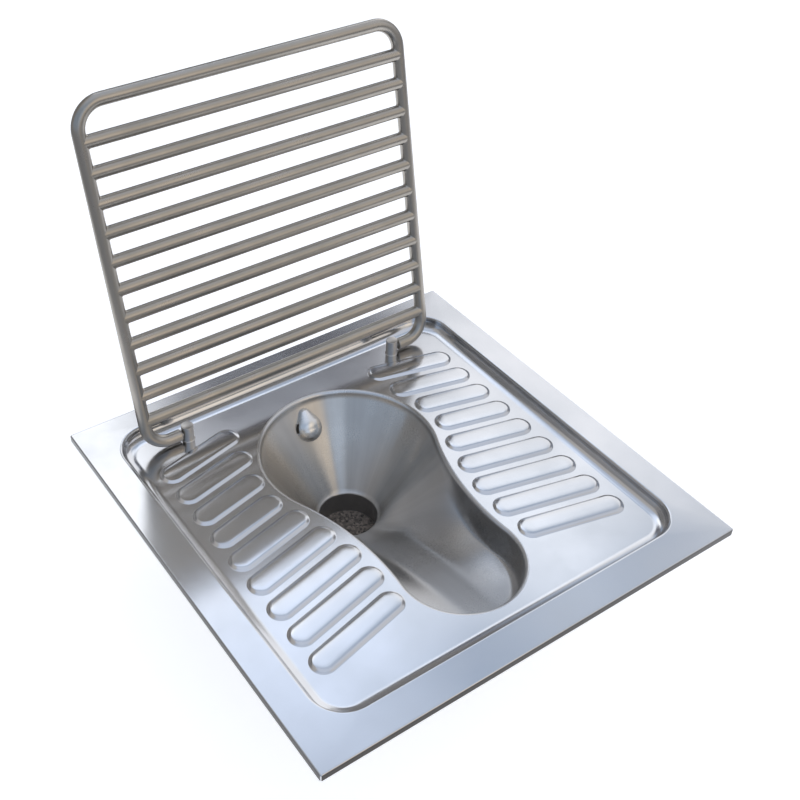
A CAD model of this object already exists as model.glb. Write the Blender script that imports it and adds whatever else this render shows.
import math
import bmesh
import bpy
from mathutils import Matrix, Vector


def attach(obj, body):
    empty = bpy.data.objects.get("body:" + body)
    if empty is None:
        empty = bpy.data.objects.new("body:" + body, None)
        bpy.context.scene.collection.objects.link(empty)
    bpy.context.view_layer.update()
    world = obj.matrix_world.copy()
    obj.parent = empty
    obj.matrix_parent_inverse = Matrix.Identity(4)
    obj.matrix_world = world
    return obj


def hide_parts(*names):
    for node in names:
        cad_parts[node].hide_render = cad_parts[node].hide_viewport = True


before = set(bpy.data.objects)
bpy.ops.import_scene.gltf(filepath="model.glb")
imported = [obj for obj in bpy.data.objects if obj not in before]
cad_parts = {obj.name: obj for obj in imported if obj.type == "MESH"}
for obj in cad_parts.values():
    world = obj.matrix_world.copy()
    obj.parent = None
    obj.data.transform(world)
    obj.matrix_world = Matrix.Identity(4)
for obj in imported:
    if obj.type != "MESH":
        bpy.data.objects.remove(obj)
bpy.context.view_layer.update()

# ---------------------------------------------------------------------------
# Camera. It stands at the front left corner of the pan, a little under 40
# degrees above it, and is turned slightly clockwise.
view_from = (-0.8631, -1.1144, 1.3813)
view_right = Vector((0.82547, -0.56429, 0.01300))
view_up = Vector((0.35231, 0.53310, 0.76921))
view_forward = Vector((0.44099, 0.63038, -0.63887))
camera_data = bpy.data.cameras.new("camera")
camera_data.sensor_width = 36.0
camera_data.lens = 52.574
camera_data.shift_x = 0.06244
camera_data.shift_y = -0.02278
camera_data.clip_end = 100.0
camera = bpy.data.objects.new("camera", camera_data)
bpy.context.scene.collection.objects.link(camera)
camera.matrix_world = Matrix.Translation(view_from) \
    @ Matrix((view_right, view_up, -view_forward)).transposed().to_4x4()
bpy.context.scene.camera = camera

# ---------------------------------------------------------------------------
# Pressed tray: the flange, which falls a little to its turned-down edge, the
# recess wall with a wide soft foot and a low shoulder, the level platform and
# the foot ribs. One sheet of 1.5 mm stainless steel, pressed and then satin
# polished, but for the edge, which stays dark as rolled.
mm = 0.001
sheet = 1.5 * mm
plate_w = 800 * mm
plate_corner_r = 3 * mm
edge_bend_r = 2 * mm
lip_depth = 15 * mm
recess_w = 698 * mm
recess_l = 700 * mm
recess_shift = 3 * mm
recess_r = 62 * mm
bend_r = 5 * mm
flange_droop = 2.0 * mm
foot_r = 15 * mm
foot_slope = math.radians(22)
shoulder_w = 12 * mm
shoulder_rise = 2.4 * mm
shoulder_power = 2.0
shoulder_steps = 12
platform_z = -21.5 * mm
# Level strips at the ends of the sections, from which the level parts are filled
edge_strip = 0.6 * mm
bend_strip = 0.8 * mm
shoulder_strip = 1.6 * mm
mouth_strip = 1.2 * mm
rib_w = 45 * mm
rib_pitch = 58.5 * mm
rib_turn = math.radians(13.2)
rib_outer_x = 287 * mm
rib_front_y = -236 * mm
rib_apron = 1.5 * mm
rib_segments = 44
# Inner ends of the ribs from the front to the rear, from the middle, in mm
rib_tips = (120, 117, 120, 132, 148, 166, 165, 152, 144)
# Rings from the apron to the top of a rib: the step inwards and the rise, in mm
rib_rise = ((0.6, 0.00), (0.7, 0.12), (0.8, 0.40), (1.0, 0.58), (1.1, 0.62), (1.1, 0.52),
            (1.1, 0.38), (1.2, 0.24), (1.6, 0.16), (3.0, 0.16), (4.0, 0.10), (3.6, 0.03))
mouth_rear_r = 161.5 * mm
mouth_rear_y = 120 * mm
mouth_front_r = 110 * mm
neck_half_w = 107 * mm
neck_y = -135 * mm
sharp_angle = math.radians(35)  # edges that turn further than this stay sharp


def only_verts(geom):
    return [g for g in geom if isinstance(g, bmesh.types.BMVert)]


def only_edges(geom):
    return [g for g in geom if isinstance(g, bmesh.types.BMEdge)]


def chain(bm, points):
    """Vertices joined one after another by edges."""
    verts = [bm.verts.new(p) for p in points]
    return verts + [bm.edges.new(pair) for pair in zip(verts, verts[1:])]


def draw_along(bm, profile, move):
    """Draws a profile of vertices and edges along a straight line."""
    drawn = bmesh.ops.extrude_edge_only(bm, edges=only_edges(profile))["geom"]
    ends = only_verts(drawn)
    bmesh.ops.translate(bm, verts=ends, vec=move)
    reached = set(ends)
    return ends + [e for e in only_edges(drawn) if set(e.verts) <= reached]


def turn_about(bm, profile, centre, axis, angle, steps):
    """Bends a profile of vertices and edges round an axis."""
    return bmesh.ops.spin(bm, geom=profile, cent=centre, axis=axis, dvec=(0, 0, 0),
                          angle=angle, steps=steps, use_duplicate=False)["geom_last"]


def run_round_rect(bm, section, w, l, r, shift_y, steps):
    """Runs a section of (outward, z) points round a rectangle with round corners."""
    x, y = w / 2, l / 2
    at = chain(bm, [(x + d, shift_y - y + r, z) for d, z in section])
    for k in range(4):
        length = (l if k % 2 == 0 else w) - 2 * r
        heading = math.pi / 2 * (k + 1)
        along = Vector((math.cos(heading), math.sin(heading), 0))
        corner = ((x - r) * (1, -1, -1, 1)[k], shift_y + (y - r) * (1, 1, -1, -1)[k], 0)
        at = draw_along(bm, at, along * length)
        at = turn_about(bm, at, corner, (0, 0, 1), math.pi / 2, steps)
    bmesh.ops.remove_doubles(bm, verts=bm.verts, dist=1e-5)


def arc(centre, radius, start, end, steps):
    """Points of an arc in the plane of a section, by angles in degrees."""
    turns = [math.radians(start + (end - start) * k / steps) for k in range(steps + 1)]
    return [(centre[0] + radius * math.cos(t), centre[1] + radius * math.sin(t)) for t in turns]


def smooth_step(t):
    t = min(1.0, max(0.0, t))
    return t * t * (3 - 2 * t)


def revolve(bm, section, centre, axis, steps):
    """Turns a section once round an axis."""
    bmesh.ops.spin(bm, geom=section, cent=centre, axis=axis, dvec=(0, 0, 0), angle=math.tau,
                   steps=steps, use_merge=True, use_duplicate=False)
    bmesh.ops.remove_doubles(bm, verts=bm.verts, dist=1e-6)


def face_towards(bm, way):
    """Turns the faces of an open sheet so that on the whole they look one way."""
    bmesh.ops.recalc_face_normals(bm, faces=bm.faces)
    if sum(f.calc_area() * f.normal.dot(way) for f in bm.faces) < 0:
        bmesh.ops.reverse_faces(bm, faces=bm.faces)


def join_in(bm, other):
    """Adds a second mesh under way to the first."""
    mesh = bpy.data.meshes.new("part")
    other.to_mesh(mesh)
    other.free()
    bm.from_mesh(mesh)
    bpy.data.meshes.remove(mesh)


def add_piece(name, bm, material, body, *nodes):
    """Makes a finished mesh into a piece that rides on a body."""
    mesh = bpy.data.meshes.new(name)
    bm.to_mesh(mesh)
    bm.free()
    for face in mesh.polygons:
        face.use_smooth = True
    mesh.set_sharp_from_angle(angle=sharp_angle)
    mesh.materials.append(material)
    piece = bpy.data.objects.new(name, mesh)
    bpy.context.scene.collection.objects.link(piece)
    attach(piece, body)
    if nodes:
        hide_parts(*nodes)
    return piece


# The mouth's outline is four tangent arcs: rear round, two hollow flanks, front round
flank_x = ((mouth_rear_y - neck_y) ** 2 - (mouth_rear_r - neck_half_w) ** 2) \
    / (2 * (mouth_rear_r - neck_half_w))
flank_r = flank_x - neck_half_w
mouth_front_y = neck_y - math.sqrt((flank_r + mouth_front_r) ** 2 - flank_x ** 2)
rear_turn = math.atan2(mouth_rear_y - neck_y, flank_x)
front_turn = math.atan2(neck_y - mouth_front_y, flank_x)
rear_joint_y = mouth_rear_y - mouth_rear_r * math.sin(rear_turn)
front_joint_y = mouth_front_y + mouth_front_r * math.sin(front_turn)


def from_mouth(co):
    """Distance outside the mouth's edge, and the level direction towards its inside."""
    if co.y >= rear_joint_y:
        way = Vector((-co.x, mouth_rear_y - co.y, 0))
        return way.length - mouth_rear_r, way.normalized()
    if co.y >= front_joint_y:
        way = Vector((co.x - math.copysign(flank_x, co.x), co.y - neck_y, 0))
        return flank_r - way.length, way.normalized()
    way = Vector((-co.x, mouth_front_y - co.y, 0))
    return way.length - mouth_front_r, way.normalized()


def mouth_loop(z):
    """A new mesh with the mouth's outline as a loop of edges."""
    bm = bmesh.new()
    up = (0, 0, 1)
    at = [bm.verts.new((0, mouth_rear_y + mouth_rear_r, z))]
    at = only_verts(turn_about(bm, at, (0, mouth_rear_y, 0), up, -math.pi / 2 - rear_turn, 52))
    at = only_verts(turn_about(bm, at, (flank_x, neck_y, 0), up, rear_turn + front_turn, 30))
    turn_about(bm, at, (0, mouth_front_y, 0), up, -math.pi / 2 - front_turn, 36)
    bmesh.ops.mirror(bm, geom=list(bm.verts) + list(bm.edges), matrix=Matrix.Identity(4),
                     merge_dist=1e-6, axis="X")
    bmesh.ops.remove_doubles(bm, verts=bm.verts, dist=1e-6)
    return bm


# The turned-down edge, then the recess from the opening's edge to the platform
tray = bmesh.new()
lip_section = [(-edge_bend_r - edge_strip, 0)] \
    + arc((-edge_bend_r, -edge_bend_r), edge_bend_r, 90, 0, 6) + [(0, -lip_depth)]
run_round_rect(tray, lip_section, plate_w, plate_w, plate_corner_r, 0, 6)
wall_x = -bend_r
foot_centre = (wall_x - foot_r, platform_z + shoulder_rise + foot_r * math.cos(foot_slope))
foot_end = foot_centre[0] + foot_r * math.sin(foot_slope)
recess_section = [(bend_strip, 0)] + arc((0, -bend_r), bend_r, 90, 180, 10) \
    + arc(foot_centre, foot_r, 0, math.degrees(foot_slope) - 90, 14)
for k in range(1, shoulder_steps + 1):
    done = k / shoulder_steps
    recess_section.append((foot_end - shoulder_w * done,
                           platform_z + shoulder_rise * (1 - done) ** shoulder_power))
recess_section.append((foot_end - shoulder_w - shoulder_strip, platform_z))
recess = bmesh.new()
run_round_rect(recess, recess_section, recess_w, recess_l, recess_r, recess_shift, 20)
join_in(tray, recess)

# Each rib starts as a level outline with two round ends, and is raised in rings
for side in (-1, 1):
    for k, tip in enumerate(rib_tips):
        rib = bmesh.new()
        half_step = Matrix.Rotation(math.pi / rib_segments, 4, "Z")
        bmesh.ops.create_circle(rib, cap_ends=True, radius=rib_w / 2 + rib_apron,
                                segments=rib_segments,
                                matrix=Matrix.Translation((0, 0, platform_z)) @ half_step)
        span = (rib_outer_x - rib_w / 2 - tip * mm) / math.cos(rib_turn)
        bmesh.ops.translate(rib, verts=[v for v in rib.verts if v.co.x > 0], vec=(span, 0, 0))
        top = list(rib.faces)
        for step, rise in rib_rise:
            bmesh.ops.inset_individual(rib, faces=top, thickness=step * mm, depth=rise * mm,
                                       use_even_offset=True)
        turn = math.pi - rib_turn if side > 0 else rib_turn
        bmesh.ops.rotate(rib, verts=rib.verts, cent=(0, 0, 0), matrix=Matrix.Rotation(turn, 3, "Z"))
        bmesh.ops.translate(rib, verts=rib.verts,
                            vec=(side * rib_outer_x, rib_front_y + k * rib_pitch, 0))
        join_in(tray, rib)

# A narrow ring round the mouth carries the level platform up to its edge
rim_ring = mouth_loop(platform_z)
outer_verts = only_verts(draw_along(rim_ring, list(rim_ring.edges), (0, 0, 0)))
for v in outer_verts:
    v.co -= mouth_strip * from_mouth(v.co)[1]
join_in(tray, rim_ring)

# The level parts between those rims are filled: the flange, then the platform
for level in (0, platform_z):
    rims = [e for e in tray.edges if len(e.link_faces) == 1
            and all(abs(v.co.z - level) < 1e-6 for v in e.verts)
            and all(from_mouth(v.co)[0] > mouth_strip / 2 for v in e.verts)]
    bmesh.ops.triangle_fill(tray, edges=rims, use_beauty=True, normal=(0, 0, 1))
# The flange's outer rim is lowered with the bend. The foot of the edge stays
outer_rim = plate_w / 2 - edge_bend_r - 1 * mm
for v in tray.verts:
    if v.co.z > -lip_depth / 2 and max(abs(v.co.x), abs(v.co.y)) > outer_rim:
        v.co.z -= flange_droop
face_towards(tray, Vector((0, 0, 1)))


mix_first, mix_second, mix_result = 6, 7, 2  # the colour sockets of a Mix node


def feed(tree, socket, value):
    """Gives a socket a plain value, or a link from another node's output."""
    if isinstance(value, bpy.types.NodeSocket):
        tree.links.new(value, socket)
    else:
        socket.default_value = value


def math_of(tree, operation, *values):
    """The result of a Math node."""
    node = tree.nodes.new("ShaderNodeMath")
    node.operation = operation
    for socket, value in zip(node.inputs, values):
        feed(tree, socket, value)
    return node.outputs["Value"]


def vector_of(tree, operation, *values):
    """A Vector Math node, by its inputs in order."""
    node = tree.nodes.new("ShaderNodeVectorMath")
    node.operation = operation
    for socket, value in zip(node.inputs, values):
        feed(tree, socket, value)
    return node


def ramp(tree, value, start, end, low=0, high=1, kind="SMOOTHSTEP"):
    """Goes from low to high while the value goes from start to end."""
    node = tree.nodes.new("ShaderNodeMapRange")
    node.interpolation_type = kind
    for socket, number in (("From Min", start), ("From Max", end),
                           ("To Min", low), ("To Max", high)):
        node.inputs[socket].default_value = number
    feed(tree, node.inputs["Value"], value)
    return node.outputs["Result"]


def mixed(tree, share, first, second):
    """The first colour, turning into the second while the share goes from 0 to 1."""
    node = tree.nodes.new("ShaderNodeMix")
    node.data_type = "RGBA"
    feed(tree, node.inputs["Factor"], share)
    feed(tree, node.inputs[mix_first], first)
    feed(tree, node.inputs[mix_second], second)
    return node.outputs[mix_result]


def noise(tree, vector, scale, detail, roughness=0.5):
    node = tree.nodes.new("ShaderNodeTexNoise")
    for socket, value in (("Vector", vector), ("Scale", scale), ("Detail", detail),
                          ("Roughness", roughness)):
        feed(tree, node.inputs[socket], value)
    return node.outputs["Fac"]


# Satin stainless steel, shared by all pieces: a cloudy tone, a fine grain and
# a few rubbed patches, with the steel's own colour
cloud_spread = (0.35, 0.65)
grain_roughness = 0.10
patch_roughness = 0.06


def satin_group():
    group = bpy.data.node_groups.new("satin_steel", "ShaderNodeTree")
    for name, kind, default in (("Vector", "NodeSocketVector", None),
                                ("Colour", "NodeSocketColor", (0.7, 0.7, 0.7, 1)),
                                ("Tint", "NodeSocketColor", (0.7, 0.7, 0.7, 1)),
                                ("Roughness", "NodeSocketFloat", 0.3),
                                ("Cloud Scale", "NodeSocketFloat", 7.0),
                                ("Grain Scale", "NodeSocketFloat", 900.0)):
        socket = group.interface.new_socket(name, in_out="INPUT", socket_type=kind)
        if default is not None:
            socket.default_value = default
    for name, kind in (("Colour", "NodeSocketColor"), ("Roughness", "NodeSocketFloat"),
                       ("Height", "NodeSocketFloat")):
        group.interface.new_socket(name, in_out="OUTPUT", socket_type=kind)
    given = group.nodes.new("NodeGroupInput").outputs
    result = group.nodes.new("NodeGroupOutput").inputs
    cloud = noise(group, given["Vector"], given["Cloud Scale"], 4.0, 0.55)
    patches = ramp(group, cloud, *cloud_spread, kind="LINEAR")
    grain = noise(group, given["Vector"], given["Grain Scale"], 3.0)
    lowest = math_of(group, "SUBTRACT", given["Roughness"], grain_roughness / 2)
    rubbed = math_of(group, "MULTIPLY_ADD", grain, grain_roughness, lowest)
    feed(group, result["Colour"], mixed(group, patches, given["Colour"], given["Tint"]))
    feed(group, result["Roughness"],
         math_of(group, "MULTIPLY_ADD", patches, patch_roughness, rubbed))
    feed(group, result["Height"], grain)
    return group


satin = satin_group()


def satin_steel(name, colour, tint, roughness, stretch=(1, 1, 1), clouds=7.0, grain=900.0,
                depth=0.00002):
    """A satin steel whose grain is drawn out along the axes where stretch is small."""
    material = bpy.data.materials.new(name)
    material.use_nodes = True
    nodes, links = material.node_tree.nodes, material.node_tree.links
    shader = nodes["Principled BSDF"]
    shader.inputs["Metallic"].default_value = 1.0
    place = nodes.new("ShaderNodeTexCoord")
    drawn_out = nodes.new("ShaderNodeMapping")
    drawn_out.inputs["Scale"].default_value = stretch
    links.new(place.outputs["Object"], drawn_out.inputs["Vector"])
    finish = nodes.new("ShaderNodeGroup")
    finish.node_tree = satin
    finish.inputs["Colour"].default_value = (*colour, 1)
    finish.inputs["Tint"].default_value = (*tint, 1)
    finish.inputs["Roughness"].default_value = roughness
    finish.inputs["Cloud Scale"].default_value = clouds
    finish.inputs["Grain Scale"].default_value = grain
    links.new(drawn_out.outputs["Vector"], finish.inputs["Vector"])
    links.new(finish.outputs["Colour"], shader.inputs["Base Color"])
    links.new(finish.outputs["Roughness"], shader.inputs["Roughness"])
    bump = nodes.new("ShaderNodeBump")
    bump.inputs["Strength"].default_value = 0.25
    bump.inputs["Distance"].default_value = depth
    links.new(finish.outputs["Height"], bump.inputs["Height"])
    links.new(bump.outputs["Normal"], shader.inputs["Normal"])
    return material


bmesh.ops.solidify(tray, geom=list(tray.faces), thickness=sheet)
tray_steel = satin_steel("pressed_sheet", (0.64, 0.64, 0.65), (0.575, 0.58, 0.59), 0.145,
                         clouds=5.0)
tree = tray_steel.node_tree
base_colour = tree.nodes["Principled BSDF"].inputs["Base Color"]
finish_colour = base_colour.links[0].from_socket
place = tree.nodes.new("ShaderNodeTexCoord").outputs["Object"]
side_of = tree.nodes.new("ShaderNodeSeparateXYZ")
feed(tree, side_of.inputs["Vector"], vector_of(tree, "ABSOLUTE", place).outputs["Vector"])
furthest = math_of(tree, "MAXIMUM", side_of.outputs["X"], side_of.outputs["Y"])
on_edge = ramp(tree, furthest, plate_w / 2 - 0.5 * mm, plate_w / 2 - 0.1 * mm, kind="LINEAR")
feed(tree, base_colour, mixed(tree, on_edge, finish_colour, (0.06, 0.055, 0.05, 1)))
tray_piece = add_piece("pressed_tray", tray, tray_steel, "pan", "tray")

# ---------------------------------------------------------------------------
# Bowl: the keyhole shaped funnel with its rolled rim, of the same sheet, drawn
# and brushed round and round, which leaves it darker and draws its shine out
# towards the drain. Its rim is welded into the platform and polished with it.
rim_r = 6 * mm
collar_rear = 12 * mm
collar_front = 60 * mm
collar_lean = 0.09
deepen_from = 30 * mm
deepen_to = -140 * mm
floor_round = 22 * mm
floor_round_share = 0.85
trough_from = 75 * mm
trough_to = -20 * mm
valley_half_w = 44.7 * mm
valley_flare = 0.088
valley_round = 9 * mm
valley_curve = (2.05, -1.45, 0.4)
drain_round = 0.9 * mm
drain_lap = 1 * mm
# Rings round the rim, the floor's round, along the floor and over the drain's edge
rim_steps = 8
round_steps = 12
floor_steps = 24
lip_steps = 6
drain_y = 118 * mm
drain_z = -184 * mm
drain_edge_r = 3 * mm
outlet_r = 55 * mm
drain_r = outlet_r - sheet + drain_edge_r
front_inset = rim_r + (collar_front - rim_r) * collar_lean
valley_l = drain_y - drain_r - mouth_front_y + mouth_front_r - front_inset
valley_rise = platform_z - collar_front - drain_z


def wall_depth(y):
    """Depth of the steep wall where the mouth's edge is at y."""
    return collar_rear + (collar_front - collar_rear) \
        * smooth_step((deepen_from - y) / (deepen_from - deepen_to))


def half_width(y):
    """Half the width between the feet of the steep walls in the front part."""
    inset = rim_r + (wall_depth(y) - rim_r) * collar_lean
    if y > front_joint_y:
        return flank_x - math.sqrt((flank_r + inset) ** 2 - (y - neck_y) ** 2)
    return math.sqrt(max(0.0, (mouth_front_r - inset) ** 2 - (y - mouth_front_y) ** 2))


def soft(q):
    """The larger of q and nothing, with a round corner where they meet."""
    return (q + math.hypot(q, valley_round)) / 2


def trough_z(x, y):
    """Height of the trough's floor: a valley that rises to the front, and two flanks."""
    run = max(0.0, (drain_y - drain_r - y) / valley_l)
    valley = drain_z + valley_rise * sum(c * run ** k for k, c in enumerate(valley_curve, 1))
    edge = valley_half_w + valley_flare * y
    foot = platform_z - wall_depth(y)
    return valley + (foot - valley) * min(1.0, soft(abs(x) - edge) / soft(half_width(y) - edge))


def rounded(start, corner, end, steps):
    """Points of a curve from start to end that is drawn towards a corner between them."""
    shares = [k / steps for k in range(steps + 1)]
    return [(1 - t) ** 2 * start + 2 * t * (1 - t) * corner + t * t * end for t in shares]


def bowl_stations(edge):
    """The rings of points down the bowl from one point of the mouth's edge."""
    inward = from_mouth(edge)[1]
    depth = wall_depth(edge.y)
    down = Vector((0, 0, -1))
    rim_centre = edge + down * rim_r
    start = rim_centre + inward * rim_r
    foot = edge + down * depth + inward * (rim_r + (depth - rim_r) * collar_lean)
    out = Vector((foot.x, foot.y - drain_y, 0)).normalized()
    drain = Vector((0, drain_y, drain_z)) + out * drain_r
    reach = min(floor_round, floor_round_share * (depth - rim_r))
    above = foot + reach * (start - foot).normalized()

    def floor_at(t):
        point = foot.lerp(drain, t)
        if t < 1:
            share = smooth_step((trough_from - point.y) / (trough_from - trough_to))
            point.z += share * (trough_z(point.x, point.y) - point.z)
        return point

    first = reach / (foot - drain).length
    below = floor_at(first)
    line = []
    for k in range(1, rim_steps + 1):
        t = math.pi / 2 * k / rim_steps
        line.append(rim_centre + inward * rim_r * math.sin(t) - down * rim_r * math.cos(t))
    line += [start.lerp(above, t) for t in (0.35, 0.7)]
    line += rounded(above, foot, below, round_steps)
    line += [floor_at(first + (1 - first) * k / floor_steps) for k in range(1, floor_steps)]
    lip = Vector((0, drain_y, 0)) + out * (outlet_r - sheet)
    turn_end = lip + Vector((0, 0, drain_z - drain_edge_r))
    turn_mid = lip + out * drain_round + Vector((0, 0, drain_z - drain_round))
    line += rounded(drain, turn_mid, turn_end, lip_steps)
    line.append(lip + Vector((0, 0, drain_z - drain_edge_r - drain_lap)))
    return line


def key_of(v):
    """A vertex's place, rounded so that two vertices in one place have one key."""
    return tuple(round(c, 6) for c in v.co)


bowl = mouth_loop(platform_z)
at = list(bowl.verts) + list(bowl.edges)
edge_of = {v: v.co.copy() for v in bowl.verts}
lines = {}
for ring in range(len(bowl_stations(at[0].co))):
    before = only_verts(at)
    at = draw_along(bowl, at, (0, 0, 0))
    edges = {key_of(v): edge_of[v] for v in before}
    moved = {}
    for v in only_verts(at):
        edge = edges[key_of(v)]
        line = lines.setdefault(tuple(edge), bowl_stations(edge))
        v.co = line[ring]
        moved[v] = edge
    edge_of = moved
face_towards(bowl, Vector((0, 0, 1)))
bmesh.ops.solidify(bowl, geom=list(bowl.faces), thickness=sheet)
bowl_steel = satin_steel("bowl_sheet", (0.60, 0.575, 0.54), (0.52, 0.495, 0.465), 0.27)
tree = bowl_steel.node_tree
shader = tree.nodes["Principled BSDF"]
base_colour = shader.inputs["Base Color"]
finish_colour = base_colour.links[0].from_socket
place = tree.nodes.new("ShaderNodeTexCoord").outputs["Object"]
from_drain = vector_of(tree, "SUBTRACT", place, (0, drain_y, drain_z)).outputs["Vector"]
shader.inputs["Anisotropic"].default_value = 0.9
feed(tree, shader.inputs["Tangent"], from_drain)
along = tree.nodes.new("ShaderNodeSeparateXYZ")
feed(tree, along.inputs["Vector"], place)
in_trough = ramp(tree, along.outputs["Y"], 70 * mm, -30 * mm)
on_rim = ramp(tree, along.outputs["Z"], platform_z - 9 * mm, platform_z - 3 * mm)
# Paler and darker rays run out from the drain, as on sheet brushed in circles
level_way = vector_of(tree, "MULTIPLY", from_drain, (1, 1, 0)).outputs["Vector"]
spoke = vector_of(tree, "NORMALIZE", level_way).outputs["Vector"]
brushing = ramp(tree, noise(tree, spoke, 5.0, 3.0, 0.6), 0.3, 0.7, 0.92, 1.06, kind="LINEAR")
brushed = vector_of(tree, "SCALE", mixed(tree, in_trough, finish_colour, (0.46, 0.455, 0.45, 1)))
feed(tree, brushed.inputs["Scale"], brushing)
feed(tree, base_colour, mixed(tree, on_rim, brushed.outputs["Vector"], (0.64, 0.635, 0.63, 1)))
bowl_piece = add_piece("bowl_sheet_funnel", bowl, bowl_steel, "pan", "bowl")

# ---------------------------------------------------------------------------
# Outlet spigot: a plain welded tube below the drain.
outlet_z = -232 * mm
spigot = bmesh.new()
spigot_top = drain_z - drain_edge_r - drain_lap
chain(spigot, [(outlet_r - sheet, drain_y, spigot_top), (outlet_r - sheet, drain_y, outlet_z),
               (outlet_r, drain_y, outlet_z), (outlet_r, drain_y, spigot_top),
               (outlet_r - sheet, drain_y, spigot_top)])
bmesh.ops.remove_doubles(spigot, verts=spigot.verts, dist=1e-6)
revolve(spigot, list(spigot.verts) + list(spigot.edges), (0, drain_y, 0), (0, 0, 1), 96)
bmesh.ops.recalc_face_normals(spigot, faces=spigot.faces)
hidden_steel = satin_steel("hidden_steel", (0.45, 0.45, 0.45), (0.38, 0.38, 0.38), 0.42,
                           clouds=18.0)
spigot_piece = add_piece("outlet_tube", spigot, hidden_steel, "pan", "outlet_spigot")

# ---------------------------------------------------------------------------
# Flush hood: a small pressed drop on the rear wall of the bowl, open at both
# sides so that the flush water fans out along the wall.
hood_half_w = 26 * mm
hood_proud = 18 * mm
hood_length = 65 * mm
hood_top_gap = 6 * mm
hood_small_r = 0.45 * hood_half_w
hood_small_proud = 0.6 * hood_proud
hood_wall_gap = 0.4 * mm
slot_start = 0.36 * hood_length
slot_end = slot_start + 17 * mm
slot_h = 7 * mm
cone_top_r = mouth_rear_r - rim_r - (collar_rear - rim_r) * collar_lean
cone_top_z = platform_z - collar_rear
cone_reach = cone_top_r + mouth_rear_y - drain_y
cone_angle = math.atan2(cone_top_z - drain_z, cone_reach - drain_r)
foot_y = hood_length - hood_half_w
lean = math.degrees(math.asin((hood_half_w - hood_small_r) / (foot_y - hood_small_r)))
hood = bmesh.new()
drop = arc((0, foot_y), hood_half_w, 90, -lean, 22) \
    + arc((0, hood_small_r), hood_small_r, -lean, -90, 12)
at = chain(hood, [(max(0, r), y, 0) for r, y in drop])
revolve(hood, at, (0, 0, 0), (0, 1, 0), 72)
wide, narrow = hood_proud / hood_half_w, hood_small_proud / hood_small_r
for v in hood.verts:
    along = min(1, max(0, (v.co.y - hood_small_r) / (foot_y - hood_small_r)))
    v.co.z *= narrow + (wide - narrow) * along
for point, normal in (((0, slot_start, 0), (0, 1, 0)), ((0, slot_end, 0), (0, 1, 0)),
                      ((0, 0, slot_h), (0, 0, 1))):
    bmesh.ops.bisect_plane(hood, geom=list(hood.verts) + list(hood.edges) + list(hood.faces),
                           plane_co=point, plane_no=normal)
on_wall = Matrix.Translation((0, mouth_rear_y + cone_top_r, cone_top_z)) \
    @ Matrix.Rotation(cone_angle, 4, "X") @ Matrix.Rotation(math.pi, 4, "Z") \
    @ Matrix.Translation((0, hood_top_gap, 0))
openings = [f for f in hood.faces if slot_start < f.calc_center_median().y < slot_end
            and f.calc_center_median().z < slot_h]
bmesh.ops.delete(hood, geom=openings, context="FACES")
bmesh.ops.transform(hood, matrix=on_wall, verts=hood.verts)


def past_wall(co):
    """How far a point lies past the bowl's rear cone, outwards from its axis."""
    radius = math.hypot(co.x, co.y - drain_y)
    wall = drain_r + (co.z - drain_z) * (cone_reach - drain_r) / (cone_top_z - drain_z)
    return radius - wall


buried = [f for f in hood.faces if all(past_wall(v.co) > 0 for v in f.verts)]
bmesh.ops.delete(hood, geom=buried, context="FACES")
for v in hood.verts:
    beyond = past_wall(v.co) - hood_wall_gap
    if beyond > 0:
        keep = 1 - beyond / math.hypot(v.co.x, v.co.y - drain_y)
        v.co.x *= keep
        v.co.y = drain_y + (v.co.y - drain_y) * keep
bmesh.ops.remove_doubles(hood, verts=hood.verts, dist=2e-5)
face_towards(hood, Vector((0, -1, 1)))
hood_steel = satin_steel("hood_sheet", (0.80, 0.79, 0.77), (0.74, 0.73, 0.71), 0.26, clouds=30.0)
hood_piece = add_piece("flush_hood_shell", hood, hood_steel, "pan", "flush_hood")
hood_wall = hood_piece.modifiers.new("wall", "SOLIDIFY")
hood_wall.thickness = sheet
hood_wall.offset = -1

# ---------------------------------------------------------------------------
# Hinge posts and pins: short lengths of 22 mm bar, welded upright to the
# platform, with a turned pin pressed into the outer side of each.
hinge_y = 299 * mm
hinge_z = -6.7 * mm
post_x = 222 * mm
post_r = 11 * mm
post_top = 9.3 * mm
post_steel = satin_steel("post_bar", (0.58, 0.55, 0.51), (0.50, 0.475, 0.445), 0.30,
                         stretch=(1, 1, 0.15), clouds=40.0)
pin_steel = satin_steel("pin_bar", (0.45, 0.45, 0.45), (0.40, 0.40, 0.40), 0.25, clouds=60.0)
post_edge_r = 0.8 * mm
post_height = post_top - platform_z
# The weld round a post's foot: radius and height above the platform, in mm
post_weld = ((0.0, 0.05), (12.4, 0.05), (11.7, 0.35), (11.25, 0.9), (11.05, 1.6), (11.0, 2.4))
for side, name in ((-1, "left"), (1, "right")):
    post = bmesh.new()
    outline = [(r * mm, z * mm) for r, z in post_weld] \
        + arc((post_r - post_edge_r, post_height - post_edge_r), post_edge_r, 0, 90, 4) \
        + [(0, post_height)]
    at = chain(post, [(side * post_x + r, hinge_y, platform_z + z) for r, z in outline])
    revolve(post, at, (side * post_x, hinge_y, 0), (0, 0, 1), 64)
    bmesh.ops.recalc_face_normals(post, faces=post.faces)
    piece = add_piece("post_" + name, post, post_steel, "pan", "hinge_post_" + name)
    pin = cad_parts["hinge_pin_" + name]
    pin.data.materials.clear()
    pin.data.materials.append(pin_steel)

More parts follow.
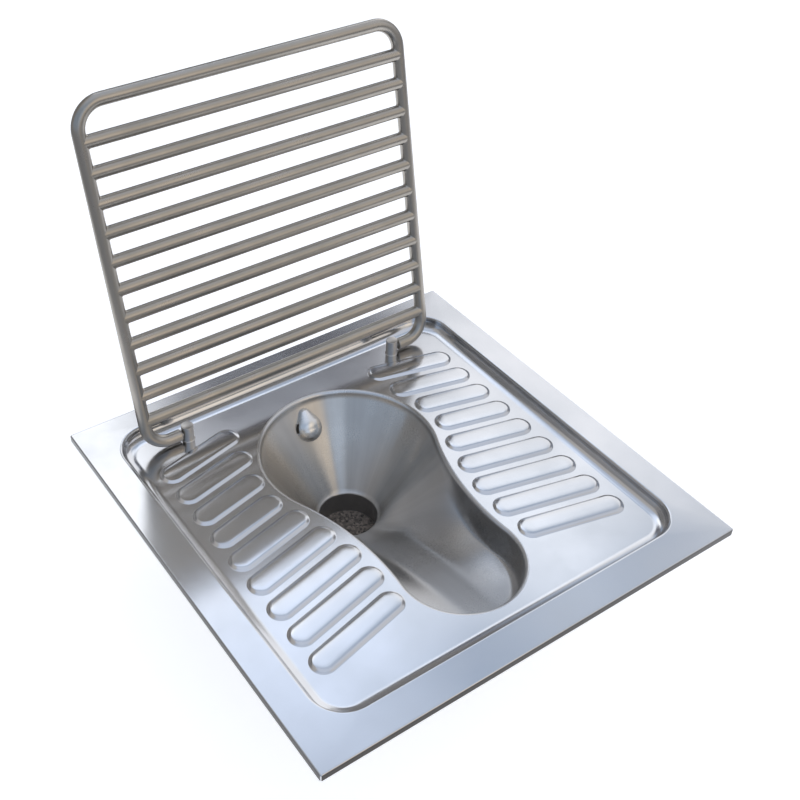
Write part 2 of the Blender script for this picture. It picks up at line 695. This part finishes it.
# ---------------------------------------------------------------------------
# Grid frame: one 22 by 1.5 mm round tube with four bends. It stands 12.2
# degrees behind the upright and turns about the hinge pins.
tube_r = 10.99 * mm  # a little under 11, so that no facet leaves the source's box
grid_half_w = 296 * mm
grid_reach = 604.7 * mm
grid_far_bend = 45 * mm
grid_near_bend = 40 * mm
grid_lean = math.radians(12.2)
stub_end = 235 * mm
cap_len = 3 * mm
grid_steel = satin_steel("round_tube", (0.43, 0.40, 0.36), (0.385, 0.36, 0.32), 0.28,
                         clouds=14.0, grain=1500.0, depth=0.000002)


def raise_grid(bm):
    """Puts a mesh made level about the hinge's axis in the raised place."""
    place = Matrix.Translation((0, hinge_y, hinge_z)) @ Matrix.Rotation(-grid_lean, 4, "X")
    bmesh.ops.transform(bm, matrix=place, verts=bm.verts)


tube = bmesh.new()
end = Matrix.Translation((-stub_end - cap_len, 0, 0)) @ Matrix.Rotation(math.pi / 2, 4, "Y")
bmesh.ops.create_circle(tube, cap_ends=False, radius=tube_r, segments=48, matrix=end)
at = list(tube.verts) + list(tube.edges)
near_x = grid_half_w - grid_near_bend
far_x = grid_half_w - grid_far_bend
near_z = grid_near_bend
far_z = grid_reach - grid_far_bend
at = draw_along(tube, at, (stub_end + cap_len - near_x, 0, 0))
at = turn_about(tube, at, (-near_x, 0, near_z), (0, 1, 0), math.pi / 2, 16)
at = draw_along(tube, at, (0, 0, far_z - near_z))
at = turn_about(tube, at, (-far_x, 0, far_z), (0, 1, 0), math.pi / 2, 16)
at = draw_along(tube, at, (2 * far_x, 0, 0))
at = turn_about(tube, at, (far_x, 0, far_z), (0, 1, 0), math.pi / 2, 16)
at = draw_along(tube, at, (0, 0, near_z - far_z))
at = turn_about(tube, at, (near_x, 0, near_z), (0, 1, 0), math.pi / 2, 16)
at = draw_along(tube, at, (stub_end + cap_len - near_x, 0, 0))
bmesh.ops.remove_doubles(tube, verts=tube.verts, dist=1e-6)
bmesh.ops.recalc_face_normals(tube, faces=tube.faces)
raise_grid(tube)
frame_piece = add_piece("bent_frame_tube", tube, grid_steel, "grid", "grid_frame")

# ---------------------------------------------------------------------------
# End plugs: turned bushes with a rounded nose, pressed into the two ends of
# the frame. They turn on the hinge pins, 2 mm clear of the posts.
plug_bore_r = 5.05 * mm
nose_r = 2.3 * mm
nose_centre = (nose_r, 8.7 * mm)
for side, name in ((-1, "left"), (1, "right")):
    plug = bmesh.new()
    outline = [(cap_len, plug_bore_r), (0, plug_bore_r)] + arc(nose_centre, nose_r, 180, 90, 4) \
        + [(cap_len, tube_r), (cap_len, plug_bore_r)]
    at = chain(plug, [(side * (stub_end + x), 0, r) for x, r in outline])
    revolve(plug, at, (0, 0, 0), (1, 0, 0), 48)
    bmesh.ops.recalc_face_normals(plug, faces=plug.faces)
    raise_grid(plug)
    piece = add_piece("plug_" + name, plug, grid_steel, "grid", "end_plug_" + name)

# ---------------------------------------------------------------------------
# Crossbars: eleven lengths of the same tube, coped onto the side tubes and
# welded all round with a small dressed fillet.
grid_first_gap = 57.9 * mm
grid_pitch = 49.4 * mm
# The weld at a bar's end: how far back from the side tube, and how much thicker, in mm
fillet = ((0.0, 1.5), (0.5, 0.8), (1.2, 0.3), (2.4, 0.0))
for k in range(11):
    bar = bmesh.new()
    bmesh.ops.create_circle(bar, cap_ends=False, radius=tube_r, segments=40,
                            matrix=Matrix.Rotation(math.pi / 2, 4, "Y"))
    at = list(bar.verts) + list(bar.edges)
    rings = [(-1, *ring) for ring in fillet] + [(1, *ring) for ring in reversed(fillet)]
    for number, (side, back, grow) in enumerate(rings):
        if number:
            at = draw_along(bar, at, (0, 0, 0))
        for v in only_verts(at):
            round_way = Vector((0, v.co.y, v.co.z)).normalized()
            spread = (tube_r + grow * mm * round_way.z ** 2) * round_way
            saddle = math.sqrt(max(0.0, tube_r ** 2 - spread.y ** 2))
            v.co = spread + Vector((side * (grid_half_w - saddle - back * mm), 0, 0))
    bmesh.ops.recalc_face_normals(bar, faces=bar.faces)
    height = grid_reach - grid_first_gap - k * grid_pitch
    bmesh.ops.translate(bar, verts=bar.verts, vec=(0, 0, height))
    raise_grid(bar)
    number = "%02d" % (k + 1)
    piece = add_piece("crossbar_" + number, bar, grid_steel, "grid", "grid_bar_" + number)

# ---------------------------------------------------------------------------
# Under the pan: the flush pipe, two channel stiffeners, the anchor lugs and
# the earth tag. Plain mill finish, welded on before the pan was polished.
for name in ("flush_inlet", "stiffener_left", "stiffener_right", "anchor_lugs", "earth_tag"):
    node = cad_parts[name]
    node.data.materials.clear()
    node.data.materials.append(hidden_steel)

# ---------------------------------------------------------------------------
# Floor and background. The floor is level under the outlet and white to the
# camera. In reflections and in the light it gives back, it is white up to about
# 2 m from a point behind and to the right of the pan, and grey further out.
floor_z = outlet_z - 0.5 * mm
floor_r = 40.0
floor_glow = 0.56
white_middle = (0.9, 1.0, floor_z)
white_reach = (2.05, 2.6)


def level_disc(name, radius, centre, segments):
    bm = bmesh.new()
    bmesh.ops.create_circle(bm, cap_ends=True, radius=radius, segments=segments,
                            matrix=Matrix.Translation(centre))
    mesh = bpy.data.meshes.new(name)
    bm.to_mesh(mesh)
    bm.free()
    disc = bpy.data.objects.new(name, mesh)
    bpy.context.scene.collection.objects.link(disc)
    return disc


floor = level_disc("floor", floor_r, (0, 0, floor_z), 96)
floor_paint = bpy.data.materials.new("floor_paint")
floor_paint.use_nodes = True
tree = floor_paint.node_tree
shader = tree.nodes["Principled BSDF"]
shader.inputs["Roughness"].default_value = 0.9
place = tree.nodes.new("ShaderNodeTexCoord").outputs["Object"]
path = tree.nodes.new("ShaderNodeLightPath").outputs
from_middle = vector_of(tree, "DISTANCE", place, white_middle).outputs["Value"]
in_white = math_of(tree, "MAXIMUM", ramp(tree, from_middle, *white_reach, 1, 0),
                  path["Is Camera Ray"])
feed(tree, shader.inputs["Base Color"],
     mixed(tree, in_white, (0.44, 0.43, 0.42, 1), (0.92, 0.92, 0.92, 1)))
# The glow is seen directly and in reflections, and lights nothing else
seen = math_of(tree, "MAXIMUM", path["Is Camera Ray"], path["Is Glossy Ray"])
seen = math_of(tree, "MAXIMUM", seen, path["Is Transmission Ray"])
glow = tree.nodes.new("ShaderNodeEmission")
feed(tree, glow.inputs["Strength"],
     math_of(tree, "MULTIPLY", math_of(tree, "MULTIPLY", seen, in_white), floor_glow))
both = tree.nodes.new("ShaderNodeAddShader")
feed(tree, both.inputs[0], shader.outputs["BSDF"])
feed(tree, both.inputs[1], glow.outputs["Emission"])
feed(tree, tree.nodes["Material Output"].inputs["Surface"], both.outputs["Shader"])
floor.data.materials.append(floor_paint)

# Under the drain the ground is bare gravel, which shows through the outlet
gravel = level_disc("gravel", outlet_r - sheet, (0, drain_y, floor_z + 1 * mm), 64)
grit = bpy.data.materials.new("grit")
grit.use_nodes = True
tree = grit.node_tree
place = tree.nodes.new("ShaderNodeTexCoord").outputs["Object"]
stones = tree.nodes.new("ShaderNodeTexVoronoi")
stones.inputs["Scale"].default_value = 260.0
feed(tree, stones.inputs["Vector"], place)
tones = tree.nodes.new("ShaderNodeValToRGB")
tones.color_ramp.elements[0].color = (0.02, 0.017, 0.014, 1)
tones.color_ramp.elements[1].color = (0.34, 0.28, 0.23, 1)
feed(tree, tones.inputs["Fac"], stones.outputs["Color"])
feed(tree, tree.nodes["Principled BSDF"].inputs["Base Color"], tones.outputs["Color"])
tree.nodes["Principled BSDF"].inputs["Roughness"].default_value = 0.9
gravel.data.materials.append(grit)

# Studio light: a pale blue surround with large soft cards. Each card has its
# bearing clockwise from +Y and its height, the half widths in degrees at which
# it begins and ends to fade in either direction, and its light.
world = bpy.data.worlds.new("studio")
bpy.context.scene.world = world
world.use_nodes = True
tree = world.node_tree
way = tree.nodes.new("ShaderNodeSeparateXYZ")
feed(tree, way.inputs["Vector"], tree.nodes.new("ShaderNodeTexCoord").outputs["Generated"])
bearing_of = math_of(tree, "ARCTAN2", way.outputs["X"], way.outputs["Y"])
bearing_of = math_of(tree, "DEGREES", bearing_of)
height_of = math_of(tree, "DEGREES", math_of(tree, "ARCSINE", way.outputs["Z"]))
surround = tree.nodes.new("ShaderNodeRGB")
surround.outputs["Color"].default_value = (0.42, 0.52, 0.68, 1)
light = surround.outputs["Color"]
soft_cards = (
    ("side", 110, 42, 35, 56, 24, 44, (0.80, 0.82, 0.88)),
    ("front", 152, 36, 14, 26, 16, 30, (0.74, 0.71, 0.67)),
    ("overhead", 0, 90, 180, 181, 18, 38, (0.76, 0.84, 1.00)),
    ("left", -38, 56, 30, 48, 8, 16, (0.58, 0.56, 0.54)),
    ("window", 166, 18, 11, 20, 14, 24, (1.20, 1.08, 0.94)),
    ("window_shade", -164, 22, 8, 16, 12, 24, (0.72, 0.86, 1.08)),
    ("key_high", 24, 51, 14, 21, 4, 10, (1.20, 1.36, 1.66)),
    ("key", 31, 41, 20, 26, 6, 11, (1.46, 1.55, 1.70)),
    ("corner", 15, 44, 6, 12, 4, 9, (1.95, 2.00, 2.08)),
    ("backdrop", 54, 20, 12, 22, 20, 26, (1.30, 1.32, 1.38)),
    ("rear_left", -28, 24, 30, 46, 18, 26, (0.32, 0.31, 0.31)),
    ("rear_dark", -14, 42, 14, 24, 3, 8, (0.16, 0.16, 0.17)),
    ("gap_low", 25, 16, 4, 9, 18, 24, (0.22, 0.22, 0.24)),
    ("gap_middle", 30, 37, 6, 10, 5, 8, (0.12, 0.12, 0.14)),
    ("gap_right", 80, 24, 5, 14, 10, 22, (0.30, 0.30, 0.32)),
)
for name, bearing, height, b_inner, b_outer, h_inner, h_outer, colour in soft_cards:
    off = math_of(tree, "WRAP", math_of(tree, "SUBTRACT", bearing_of, bearing), 180, -180)
    aside = math_of(tree, "ABSOLUTE", off)
    above = math_of(tree, "ABSOLUTE", math_of(tree, "SUBTRACT", height_of, height))
    share = math_of(tree, "MULTIPLY", ramp(tree, aside, b_inner, b_outer, 1, 0),
                   ramp(tree, above, h_inner, h_outer, 1, 0))
    light = mixed(tree, share, light, (*colour, 1))
    light.node.name = name

# Near the level of the floor the surround is a warmer, darker grey. The camera
# itself sees plain white behind the part
skirting_top = 12
light = mixed(tree, ramp(tree, height_of, 0, skirting_top, 1, 0), light, (0.40, 0.38, 0.36, 1))
by_camera = tree.nodes.new("ShaderNodeLightPath").outputs["Is Camera Ray"]
background = tree.nodes["Background"].inputs
feed(tree, background["Color"], mixed(tree, by_camera, light, (1, 1, 1, 1)))
background["Strength"].default_value = 1.0

bpy.context.scene.view_settings.view_transform = "Standard"
